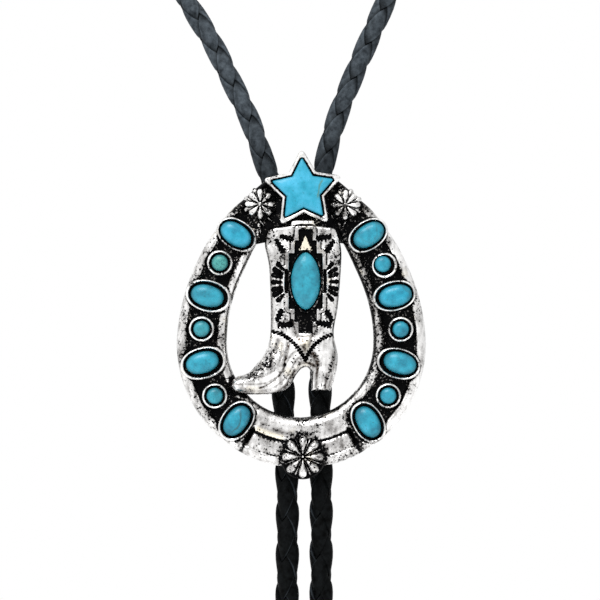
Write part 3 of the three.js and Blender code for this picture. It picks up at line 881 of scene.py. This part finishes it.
# The recess: half the width and half the height of each block in its steps
STEPS = ((4.7, 2.6), (3.7, 6.2), (2.4, 9.2), (1.5, 11.8))
# Fans of petals at its sides: middle, inner and outer reach to the side, half the height that the
# inner and the outer ends spread over, and half a petal's width at its outer end. Each petal has its
# place at both ends of the fan and half its width at the inner end: two pairs run together.
SIDE_FANS = ((4.08, -4.25, -6.95, 2.6, 4.5, 0.66), (4.2, 6.3, 8.65, 2.65, 4.5, 0.56))
SIDE_PETALS = (
    (-1, -1, 0.2), (-0.69, -0.71, 0.3), (-0.42, -0.4, 0.3), (0, 0, 0.22),
    (0.42, 0.4, 0.3), (0.69, 0.71, 0.3), (1, 1, 0.2),
)
# Two toothed leaves in each corner, which meet at its outside: the outer and the inner end of each,
# and half its width at both
CORNER_LEAVES = (
    ((-5.0, 14.7), (-1.7, 13.85), 0.55, 0.9),
    ((-5.9, 14.1), (-4.0, 10.8), 0.45, 0.92),
    ((7.0, 14.6), (3.3, 14.05), 0.65, 0.82),
    ((7.6, 13.9), (5.7, 10.9), 0.45, 0.95),
    ((-5.5, -5.7), (-1.9, -5.75), 0.8, 0.7),
    ((-5.7, -5.0), (-4.4, -2.1), 0.6, 0.9),
    ((7.0, -5.7), (3.3, -5.2), 1.0, 0.62),
    ((7.2, -5.0), (5.7, -2.3), 0.55, 0.85),
)
# All of them: start, end, half width at both and depth of the teeth
PETALS = [(*row, 0.46) for row in CORNER_LEAVES]
for middle, inner, outer, low, high, broad in SIDE_FANS:
    way = math.copysign(1, outer - inner)
    for s, t, narrow in SIDE_PETALS:
        start = (inner - way * 0.45 * s**2, middle + low * s)
        PETALS.append((start, (outer - way * 1.3 * t**4, middle + high * t), narrow, broad, 0.0))
# Each seam's start, and the point that it is drawn towards on its way to the point where both meet
SEAMS = (((-6.6, -7.3), (-2.1, -7.9)), ((7.8, -7.9), (3.4, -8.3)))
SEAMS_MEET = (0.9, -13.7)
# How far apart a leaf's teeth and a seam's beads are
TOOTH = 0.8
BEAD = 0.8
# The level of the groove under the pull strap, and the middle of the upright triangle
STRAP = 17.15
WEDGE = 0.95
# Creases and smudges, hollowed and browned: points, half width, depth and how brown
CREASES = (
    (((-5.3, -9.0), (-5.5, -10.4), (-6.0, -11.9)), 0.4, 0.3, 0.9),
    (((-2.9, -9.9), (-3.4, -12.4), (-3.9, -14.8)), 0.5, 0.4, 1.0),
    (((-4.2, -10.5), (-4.6, -13.2), (-5.6, -15.6)), 0.3, 0.2, 0.4),
    (((-3.7, -14.8), (-4.2, -16.2), (-5.4, -17.6), (-7.2, -19.2), (-9.6, -20.3)), 0.24, 0.25, 0.95),
    (((-1.5, -16.2), (-2.7, -18.4), (-3.9, -20.2)), 0.45, 0.3, 0.95),
    (((-4.5, -20.9), (-9.0, -21.0), (-14.5, -20.6)), 0.8, 0.1, 0.35),
    (((2.4, -12.2), (3.3, -13.3), (3.7, -15.0)), 0.8, 0.3, 1.0),
    (((-0.4, -14.4), (1.0, -14.4), (2.2, -14.7), (3.2, -15.2)), 0.45, 0.2, 1.0),
    (((3.8, -15.0), (3.6, -17.0), (3.4, -20.0)), 0.36, 0.3, 1.0),
    (((5.9, -16.8), (5.7, -18.6), (5.4, -20.4)), 0.3, 0.2, 0.8),
    (((7.5, -9.6), (7.8, -12.8), (7.2, -16.6), (6.4, -20.0)), 0.35, 0.15, 0.5),
    (((-2.0, -5.2), (-1.3, -7.2), (-0.4, -9.6)), 0.95, 0.08, 0.95),
    (((0.2, -8.6), (0.4, -9.8), (0.8, -11.6)), 0.75, 0.05, 0.85),
    (((2.7, -7.8), (2.3, -9.0), (1.7, -10.6)), 0.4, 0.08, 0.75),
)


def outside_recess(px, py):
    """How far each point lies outside the stepped recess. Inside it, the number is negative."""
    away = np.full(len(px), 1e9)
    for w, h in STEPS:
        outside = np.hypot(np.maximum(px - w, 0), np.maximum(py - h, 0))
        away = np.minimum(away, outside + np.minimum(np.maximum(px - w, py - h), 0))
    return away


def engraved(x, y, start, end, narrow, broad, toothed):
    """Which points an engraved petal covers, rounded at its end, and which lie on the rib along it."""
    along = np.array(end) - start
    long = np.linalg.norm(along)
    ux, uy = along / long
    dx, dy = x - start[0], y - start[1]
    a = (dx * ux + dy * uy) / long
    side = dy * ux - dx * uy
    b = np.abs(side)
    teeth = 0.5 + 0.5 * np.sin((a * long - 0.5 * b) * 2 * math.pi / TOOTH + 1.5 * np.sign(side))
    half = (narrow + (broad - narrow) * np.clip(a, 0, 1)) * np.clip((1.0 - a) * long / 0.45, 0, 1) ** 0.5
    half = half * (1 - toothed * teeth)
    petal = ease(0.07, -0.07, b - half) * ease(-0.06, 0.1, a)
    return petal, fade(b, 0.1) * ease(0.35, 0.6, a)


def boot_relief(xy, edge):
    """The boot's height at each point, and how black, yellowed, browned and rubbed bright it is. The brown
    also holds painted shade and painted reflections.
    """
    x, y = xy.T
    foot = ease(-7.0, -11.0, y)
    # The toe lies over the band: it starts higher and rises more steeply.
    over = ease(-11.5, -14.0, x)
    t = 1 - np.clip(edge / (0.9 + 1.4 * foot - 1.2 * over), 0, 1)
    height = WALL + 0.5 * over + (SWELL + 0.2 * foot) * np.sqrt(1 - t * t)
    height += 0.75 * foot * fade(distance(xy, smooth_line(INSTEP, 0.5)), 2.4) * ease(0, 1.6, edge)
    # A dark edge all round, and black left in the grain
    dark = 0.13 - 0.06 * foot + (0.45 - 0.25 * foot) * (1 - ease(0.05, 0.5, edge))
    grained = sum(fade(distance(xy, np.array(points)), reach) for points, reach in GRAIN)
    dark = np.maximum(dark, 0.54 * np.minimum(grained, 1))

    # The stepped recess round the stone, its raised frame and the fine line round that
    px, py = np.abs(x - MARQUISE[0]), np.abs(y - MARQUISE[1])
    step = outside_recess(px, py)
    sunk = 1 - ease(-0.12, 0.14, step)
    face = ease(0.1, 0.3, step) * (1 - ease(0.9, 1.1, step))
    # The upright edges of the plate under the stone run through the widest step.
    upright = fade(px - 4.0, 0.17) * ease(6.3, 6.0, py)
    frame_line = fade(step - 1.15, 0.13) * ease(0.3, 0.7, edge) * (y > -6.5)
    height += 0.2 * face * ease(0.2, 0.8, edge)
    height -= RECESS_DEPTH * sunk + 0.15 * frame_line
    height += 0.5 * sunk * upright
    sunk_dark = sunk * (1 - 0.75 * upright) * (1 - 0.3 * ease(-2, -4, y))
    dark = np.maximum(dark, np.maximum(sunk_dark, 0.26 * frame_line))

    # Engraved petals, with a rib left along each
    for row in PETALS:
        petal, rib = engraved(x, y, *row)
        petal = petal * ease(0.05, 0.25, edge) * ease(0.0, 0.15, step)
        height -= (PETAL_DEPTH - 0.15 * rib) * petal
        dark = np.maximum(dark, petal * (1 - 0.2 * rib))

    # Roped seams over the ankle: a ragged black groove with a row of small beads in it
    roped = np.zeros(len(x))
    twists = np.sin((y + 0.6 * np.abs(x - SEAMS_MEET[0])) * 2 * math.pi / BEAD)
    for a, b in SEAMS:
        t = np.linspace(0, 1, 30)[:, None]
        seam = (1 - t) ** 2 * np.array(a) + 2 * t * (1 - t) * np.array(b) + t * t * np.array(SEAMS_MEET)
        away = distance(xy, seam)
        groove = 1 - ease(0.24, 0.52, away + 0.1 * twists)
        beads = fade(away, 0.26) * ease(-0.2, 0.9, twists)
        height += SEAM_DEPTH * (beads - groove)
        dark = np.maximum(dark, 0.85 * groove - 0.38 * beads)
        roped = np.maximum(roped, 0.6 * beads)

    # Browned: the frame's face and line. Painted shade: the wall at the shaft's left.
    left_wall_shade = (1 - ease(0.3, 1.1, edge)) * ease(-4, -5, x) * ease(-8, -6, y)
    brown_and_shade = np.maximum(0.36 * face * (py > 2.8), 0.55 * left_wall_shade)
    brown_and_shade = np.maximum(brown_and_shade, 0.75 * frame_line)
    # Painted reflections: dark streaks along the foot, beside its sole
    beside = distance(xy, smooth_line(SOLE, 0.5))
    reflection_streaks = ease(0.3, 1.0, np.sin(beside * 3.9 - 0.9)) * ease(7, 3, beside)
    brown_and_shade = np.maximum(brown_and_shade, 0.6 * foot * reflection_streaks * (x < 0.5))
    for points, half, deep, mark in CREASES:
        crease = fade(distance(xy, smooth_line(points, 0.3)), half)
        height -= deep * crease
        dark = np.maximum(dark, 0.12 * crease)
        brown_and_shade = np.maximum(brown_and_shade, mark * crease)
    # The groove under the pull strap
    strap = fade(y - STRAP, 0.16) * (np.abs(x - 0.3) < 2.9)
    height -= 0.25 * strap
    dark = np.maximum(dark, 0.4 * strap)

    # The small upright triangle above the stone, on a stepped foot, both yellowed
    off = np.abs(x - WEDGE)
    half = np.clip((15.1 - y) / 2.7, 0, 1) * 1.1
    plinth = ease(0.1, -0.1, off - 1.6) * ease(11.2, 11.4, y) * ease(12.5, 12.3, y)
    wedge = ease(0.15, -0.1, off - half) * ease(11.1, 11.5, y) * ease(15.2, 14.9, y)
    wedge = np.maximum(wedge, 0.8 * plinth)
    height += 0.75 * wedge
    dark = np.where(wedge > 0.3, dark * (1 - wedge) + 0.1 * wedge + 0.2 * plinth, dark)
    # A yellowed spot above the point of the seams
    yellowed = np.maximum(wedge, 0.8 * fade(np.hypot(x - 1.0, (y + 10) / 1.6), 1.0))
    proud = np.maximum(np.maximum(wedge, roped), sunk * upright)
    return height, np.clip(dark, 0, 1), yellowed, brown_and_shade, proud


# A fine net of triangles inside the outline
ACROSS = 0.174
UP = 0.15
runs = zip((BOOT[-1], *BOOT), BOOT)
outline = np.vstack([smooth_line([before[-1], *run], 0.22)[:-1] for before, run in runs])
inside = []
for row, y in enumerate(np.arange(-21.6, 18.7, UP)):
    shift = 0 if row % 2 else ACROSS / 2
    inside += [(x, y) for x in np.arange(-16.2 + shift, 9.4, ACROSS)]
inside = np.array(inside)
within = np.zeros(len(inside), dtype=bool)
for (ax, ay), (bx, by) in zip(outline, np.roll(outline, -1, 0)):
    crosses = (ay > inside[:, 1]) != (by > inside[:, 1])
    within ^= crosses & (inside[:, 0] < (bx - ax) * (inside[:, 1] - ay) / (by - ay + 1e-15) + ax)
inside = inside[within]
inside = inside[distance(inside, outline, True) > 0.09]
corners = [Vector(p) for p in np.vstack([outline, inside])]
loop = [(i, (i + 1) % len(outline)) for i in range(len(outline))]
corners, _, triangles, *_ = geometry.delaunay_2d_cdt(corners, loop, [], 1, 1e-5)
flat = np.array(corners)
height, *marks = boot_relief(flat, distance(flat, outline, True))
boot = from_points("boot", np.column_stack([flat, height]), triangles)
for name, values in zip(("ground", "tarnish", "smoked", "proud"), marks):
    write(boot, name, values)
edit()
bpy.ops.mesh.select_mode(type="EDGE")
bpy.ops.mesh.select_all(action="SELECT")
bpy.ops.mesh.region_to_loop()
extrude(0, 0, 0)
scale(1, 1, 0)
bpy.ops.mesh.edge_face_add()
close()
casting.append(place(boot))


# Where the casting is blackened: what was marked above, and every corner that its own forms shade

def hollows(piece, solid, reach=0.0013, rays=18):
    """How much of the open side of each vertex is closed off by metal or stone close by."""
    spread = []
    for i in range(rays):
        up = 0.12 + 0.86 * (i + 0.5) / rays
        t = i * math.pi * (3 - math.sqrt(5))
        flat = math.sqrt(1 - up * up)
        spread.append(Vector((flat * math.cos(t), flat * math.sin(t), up)))
    shade = []
    for v in piece.data.vertices:
        turn = v.normal.to_track_quat("Z", "Y")
        start = v.co + v.normal * 0.00005
        found = 0.0
        for way in spread:
            hit = solid.ray_cast(start, turn @ way, reach)[3]
            if hit is not None:
                found += (1 - hit / reach) ** 0.5
        shade.append(found / rays)
    return np.array(shade)


all_points, all_faces = [], []
for piece in casting + stones:
    first = len(all_points)
    all_points += [v.co.copy() for v in piece.data.vertices]
    all_faces += [[first + i for i in face.vertices] for face in piece.data.polygons]
solid = BVHTree.FromPolygons(all_points, all_faces)
for piece in casting:
    marked = read(piece, "ground")
    x, y, z = places(piece).T
    if piece is band:
        # Painted shadow: black on the band round the boot and the lowest concho, which lie over it
        spots = np.column_stack([x, z - SLIDE.z]) / MM
        boot_shadow = 1 - ease(0.4, 1.3, distance(spots, outline, True))
        concho_shadow = 1 - ease(5.2, 6.8, np.linalg.norm(spots - LOWEST, axis=1))
        marked = np.maximum(marked, np.maximum(0.95 * boot_shadow, 0.62 * concho_shadow))
    # What stands out highest is rubbed bright, also close to its neighbours.
    shaded = ease(0.08, 0.4, hollows(piece, solid)) * (1 - 0.9 * read(piece, "proud"))
    # The back is plain, with only the wear of the whole.
    back = y > SLIDE.y - 0.05 * MM
    write(piece, "patina_and_shade", np.where(back, 0.22, np.maximum(marked, shaded)))
    hand_in(piece, silver, "antique_silver", "slide_casting")


# The cord: two laces winding each way, plaited over and under one another, as one braid from tip to tip

TIP_LEFT = -3.3
TIP_RIGHT = 4.6
CLIP_LEFT = -4.3
CLIP_RIGHT = 4.2
NAPE = (0, 118, 166)
# Points of both runs from the tip up, seen from the slide: to the right, back and up
LEFT = (
    *((TIP_LEFT, 4.2, z) for z in (-168.1, -137, -105, -73, -42)),
    (-4.1, 4.2, -24), (CLIP_LEFT, 4.2, -6), (CLIP_LEFT, 4.2, 6), (CLIP_LEFT, 4.2, 17), (-5.2, 4.4, 23),
    (-7.7, 5.2, 29.5), (-11.9, 8.2, 41.7), (-16.3, 11.2, 51.1), (-21, 14.4, 60.6), (-26.4, 17.6, 69.8),
    (-36, 27, 90), (-47, 39, 114), (-55, 54, 137), (-58.5, 72, 153), (-53, 93, 162), (-35, 110, 165.2),
    (-12, 117.6, 166),
)
RIGHT = (
    *((TIP_RIGHT, 4.2, z) for z in (-168.1, -137, -105, -73, -42)),
    (4.4, 4.2, -24), (CLIP_RIGHT, 4.2, -6), (CLIP_RIGHT, 4.2, 6), (CLIP_RIGHT, 4.2, 17), (4.3, 4.4, 23),
    (5.2, 5.2, 30.5), (8.1, 8.2, 41.7), (11.7, 11.2, 51.1), (15.7, 14.4, 60.6), (19.7, 17.6, 69.8),
    (28.5, 27, 90), (38.5, 39, 114), (47, 54, 137), (51.5, 72, 153), (47.5, 93, 162), (32, 110, 165.2),
    (12, 117.6, 166),
)
# How far a lace goes along the cord in one turn, the radius that the laces lie at, how far they rise
# and fall from it, half a lace's width as a share of its strip, and the radius and sides of the core
PITCH = 18.8
LACE_RADIUS = 1.9
WEAVE = 0.43
LACE_HALF = 0.415
CORE_RADIUS = 1.05
CORE_SIDES = 10
# The section of one lace: place across it, height over its middle in millimetres, and how much
# painted light it takes there: painted highlights along its cut edges.
LACE = (
    (-1, -0.2, 0.1), (-0.97, 0.2, 1.0), (-0.88, 0.29, 0.9), (-0.6, 0.34, 0.62),
    (-0.2, 0.36, 0.8), (0.2, 0.36, 0.74), (0.6, 0.34, 0.55), (0.85, 0.3, 0.7),
    (0.97, 0.2, 0.8), (1, -0.2, 0.1), (0.7, -0.34, 0), (-0.7, -0.34, 0),
)


def ring_faces(first, rings, sides):
    """The faces between rings of points that follow one another."""
    faces = []
    for a in range(first, first + (rings - 1) * sides, sides):
        b = a + sides
        for k in range(sides):
            after = (k + 1) % sides
            faces.append((a + k, a + after, b + after, b + k))
    return faces


path = smooth_line([*LEFT, NAPE, *reversed(RIGHT)], 0.5) - NAPE
steps = np.linalg.norm(np.diff(path, axis=0), axis=1)
reached = np.concatenate([[0], np.cumsum(steps)])
level = path[:, 2]
# Drawn thinner above the slide, where the weight hangs on it, with the laces fuller between crossings
drawn = 1.03 - 0.11 * ease(-146, -130, level)
filled = 0.18 * ease(-150, -136, level)
# The way that the braid's crossings face, in degrees from straight ahead. The cord is twisted behind
# the slide and round the neck.
lifted = ease(-190, -150, level)
facing_left = -22 + 30 * lifted
facing_right = 22 - 34 * lifted
facing = facing_left + (facing_right - facing_left) * ease(0.4, 0.6, reached / reached[-1])
ahead = np.gradient(path, axis=0)
ahead /= np.linalg.norm(ahead, axis=1)[:, None]
fronts = [np.array((0.0, -1.0, 0.0))]
for direction in ahead[1:]:
    front = fronts[-1] - direction * (fronts[-1] @ direction)
    fronts.append(front / np.linalg.norm(front))
fronts = np.array(fronts)
across = np.cross(ahead, fronts)

spans = np.arange(-2, 4 * reached[-1] / PITCH + 2, 1 / 7)[:, None]
v, rise, pale = np.array(LACE).T
points, faces, shown, lines = [], [], [], []
for way in (1, -1):
    for lace in (0, 1):
        own = lace + LACE_HALF * v + 0 * spans
        other = spans + 0 * v
        s = np.clip((own + other) * PITCH / 4, 0, reached[-1])
        # A lace runs more nearly straight where it lies on top, and turns more where it is hidden.
        phase = math.pi * (other + lace)
        t = way * (other - own) * math.pi / 2 - 0.24 * np.sin(phase)
        t += np.radians(np.interp(s, reached, facing))
        r = LACE_RADIUS + WEAVE * way * np.cos(phase) + rise
        # Painted light only on the outer tops of the laces; what lies under them stays black as painted
        # shade.
        outer = ease(1.8, 2.45, r)
        shown += (outer * pale).ravel().tolist()
        lines += (outer * 0.4 * (pale > 0.95)).ravel().tolist()
        r += np.interp(s, reached, filled) * np.sin(phase) ** 2
        r *= np.interp(s, reached, drawn)
        ring = np.zeros((*s.shape, 3))
        for axis in range(3):
            out = np.interp(s, reached, fronts[:, axis]) * np.cos(t)
            out += np.interp(s, reached, across[:, axis]) * np.sin(t)
            ring[..., axis] = np.interp(s, reached, path[:, axis]) + r * out
        first = len(points)
        points += ring.reshape(-1, 3).tolist()
        last = len(points) - len(LACE)
        faces += ring_faces(first, len(spans), len(LACE))
        faces.append(tuple(reversed(range(first, first + len(LACE)))))
        faces.append(tuple(range(last, last + len(LACE))))
# The core that the laces are plaited over
first = len(points)
turns = np.linspace(0, 2 * math.pi, CORE_SIDES, endpoint=False)
for middle, front, side, thin in zip(path[::6], fronts[::6], across[::6], drawn[::6]):
    for t in turns:
        points.append((middle + CORE_RADIUS * thin * (front * math.cos(t) + side * math.sin(t))).tolist())
faces += ring_faces(first, len(path[::6]), CORE_SIDES)
plain = np.zeros(len(points) - first)
points = np.array(points)
cord = from_points("braided_cord", points * MM, faces)
# Less painted light down to the slide and on the right: painted shade. Below the slide only the painted
# highlights along the edges show, as lines.
x, _, z = points.T
above = ease(-147, -138, z) * (0.36 + 0.64 * ease(-141, -120, z)) * (1.12 - 0.18 * ease(-10, 10, x))
shown, lines = (np.concatenate([values, plain]) for values in (shown, lines))
write(cord, "painted_light", above * shown + (1 - above) * lines)
edit()
bpy.ops.mesh.select_all(action="SELECT")
bpy.ops.mesh.remove_doubles(threshold=0.000001)
close()
hand_in(cord, leather, "black_leather", "cord_left", "cord_right", angle=50)

# The cord tips: turned ferrules with a collar, a waist and two beads
TIP_LEVELS = (
    (2.6, -3.0), (2.6, 0), (3.1, 0), (3.4, -0.3), (3.4, -1.1), (3.15, -1.35), (3.15, -1.75), (3.4, -2.0),
    (3.4, -3.0), (3.1, -3.3), (2.95, -6), (2.75, -12), (2.7, -14.2), (3.0, -14.5), (3.05, -15.1),
    (2.7, -15.5), (2.5, -20), (2.15, -26.5), (2.35, -26.8), (2.35, -27.4), (2.0, -27.7), (1.75, -30.6),
    (1.5, -31.5), (0.9, -31.95), (0.3, -32),
)
TIP_DEPTH = -0.1138
TIP_MOUTH = -0.32643
for name, x in (("tip_left", TIP_LEFT), ("tip_right", TIP_RIGHT)):
    tip = turned(name + "_turned", even(TIP_LEVELS), 40)
    tip.matrix_world = Matrix.Translation((x * MM, TIP_DEPTH, TIP_MOUTH)) @ Matrix.Scale(MM, 4)
    freeze()
    hand_in(tip, plating, "tip_metal", name)

# The clip behind the slide: a plate, a tube round each run of the cord, and a pressed bar with a tab
CLIP_UP = 13.65
CLIP_HEIGHT = 5.7
bpy.ops.mesh.primitive_cube_add(size=1, location=(0.1, CLIP_UP, -0.8), scale=(13.8, CLIP_HEIGHT, 1.0))
clip = [bpy.context.object]
for x in (CLIP_LEFT, CLIP_RIGHT):
    bpy.ops.mesh.primitive_cylinder_add(
        vertices=48, radius=3.45, depth=CLIP_HEIGHT, end_fill_type="NOTHING", location=(x, CLIP_UP, -4.2),
        rotation=(math.pi / 2, 0, 0),
    )
    clip.append(bpy.context.object)
    apply(clip[-1], "SOLIDIFY", thickness=0.6, offset=-1)
bpy.ops.mesh.primitive_cube_add(size=1, location=(0, CLIP_UP, -7.75), scale=(8.4, 5.0, 0.8))
clip.append(bpy.context.object)
edit()
pick("FACE", lambda f: f.normal.y < -0.9)
extrude(0, -1.6, -0.1)
scale(0.7, 1, 1)
close()
select(*clip)
freeze()
clip = join(clip, "cord_clip_pressed")
apply(clip, "BEVEL", width=0.18, segments=3, limit_method="ANGLE")
place(clip)
hand_in(clip, steel, "clip_steel", "cord_clip")


# Surroundings

# A pale plain floor, below the tips
bpy.ops.mesh.primitive_plane_add(size=2.3, location=(0, 0, -0.362))
floor = bpy.context.object
floor.name = "floor"
paper, _, shader, _ = new_material("white_studio_floor")
feed(shader, {"Base Color": colour("#f2f2f2"), "Roughness": 0.9})
floor.data.materials.append(paper)

# Light: a white tent, darker to the right, below and behind, with a large soft lamp above
TENT = (
    ("Z", -0.7, 0.6, 0.72, 1.22),
    ("X", 0.9, -0.9, 0.8, 1.25),
    ("Y", 0.7, -0.2, 0.9, 1.0),
)
scene.view_settings.view_transform = "Standard"
world = bpy.data.worlds.new("white_tent")
scene.world = world
world.use_nodes = True
tree = world.node_tree
way = add(tree, "SeparateXYZ", {0: add(tree, "TexCoord").outputs["Generated"]})
glow = 1.0
for axis, low, high, dim, bright in TENT:
    glow = calc("MULTIPLY", remap(way.outputs[axis], low, high, dim, bright), glow)
camera_ray = add(tree, "LightPath").outputs["Is Camera Ray"]
strength = add(tree, "Mix", {0: camera_ray, 2: glow, 3: 1.0}).outputs[0]
feed(tree.nodes["Background"], {"Color": (1, 1, 1, 1), "Strength": strength})
lamp_data = bpy.data.lights.new("soft_lamp", "AREA")
lamp_data.size = 0.45
lamp_data.energy = 5
lamp = new_object("soft_lamp", lamp_data)
lamp.location = (-0.2, -0.75, 0.45)
lamp.rotation_euler = (SLIDE - lamp.location).to_track_quat("-Z", "Y").to_euler()

# Camera: level with the slide, straight in front. The picture is as wide as VIEW_WIDTH there.
VIEW_WIDTH = 0.138
VIEW_DISTANCE = 0.9
camera_data = bpy.data.cameras.new("camera")
camera = new_object("camera", camera_data)
camera.location = (-0.0003, -0.121 - VIEW_DISTANCE, -0.166)
camera.rotation_euler = (math.radians(90), 0, 0)
camera_data.lens = camera_data.sensor_width * VIEW_DISTANCE / VIEW_WIDTH
camera_data.clip_end = 20
scene.camera = camera
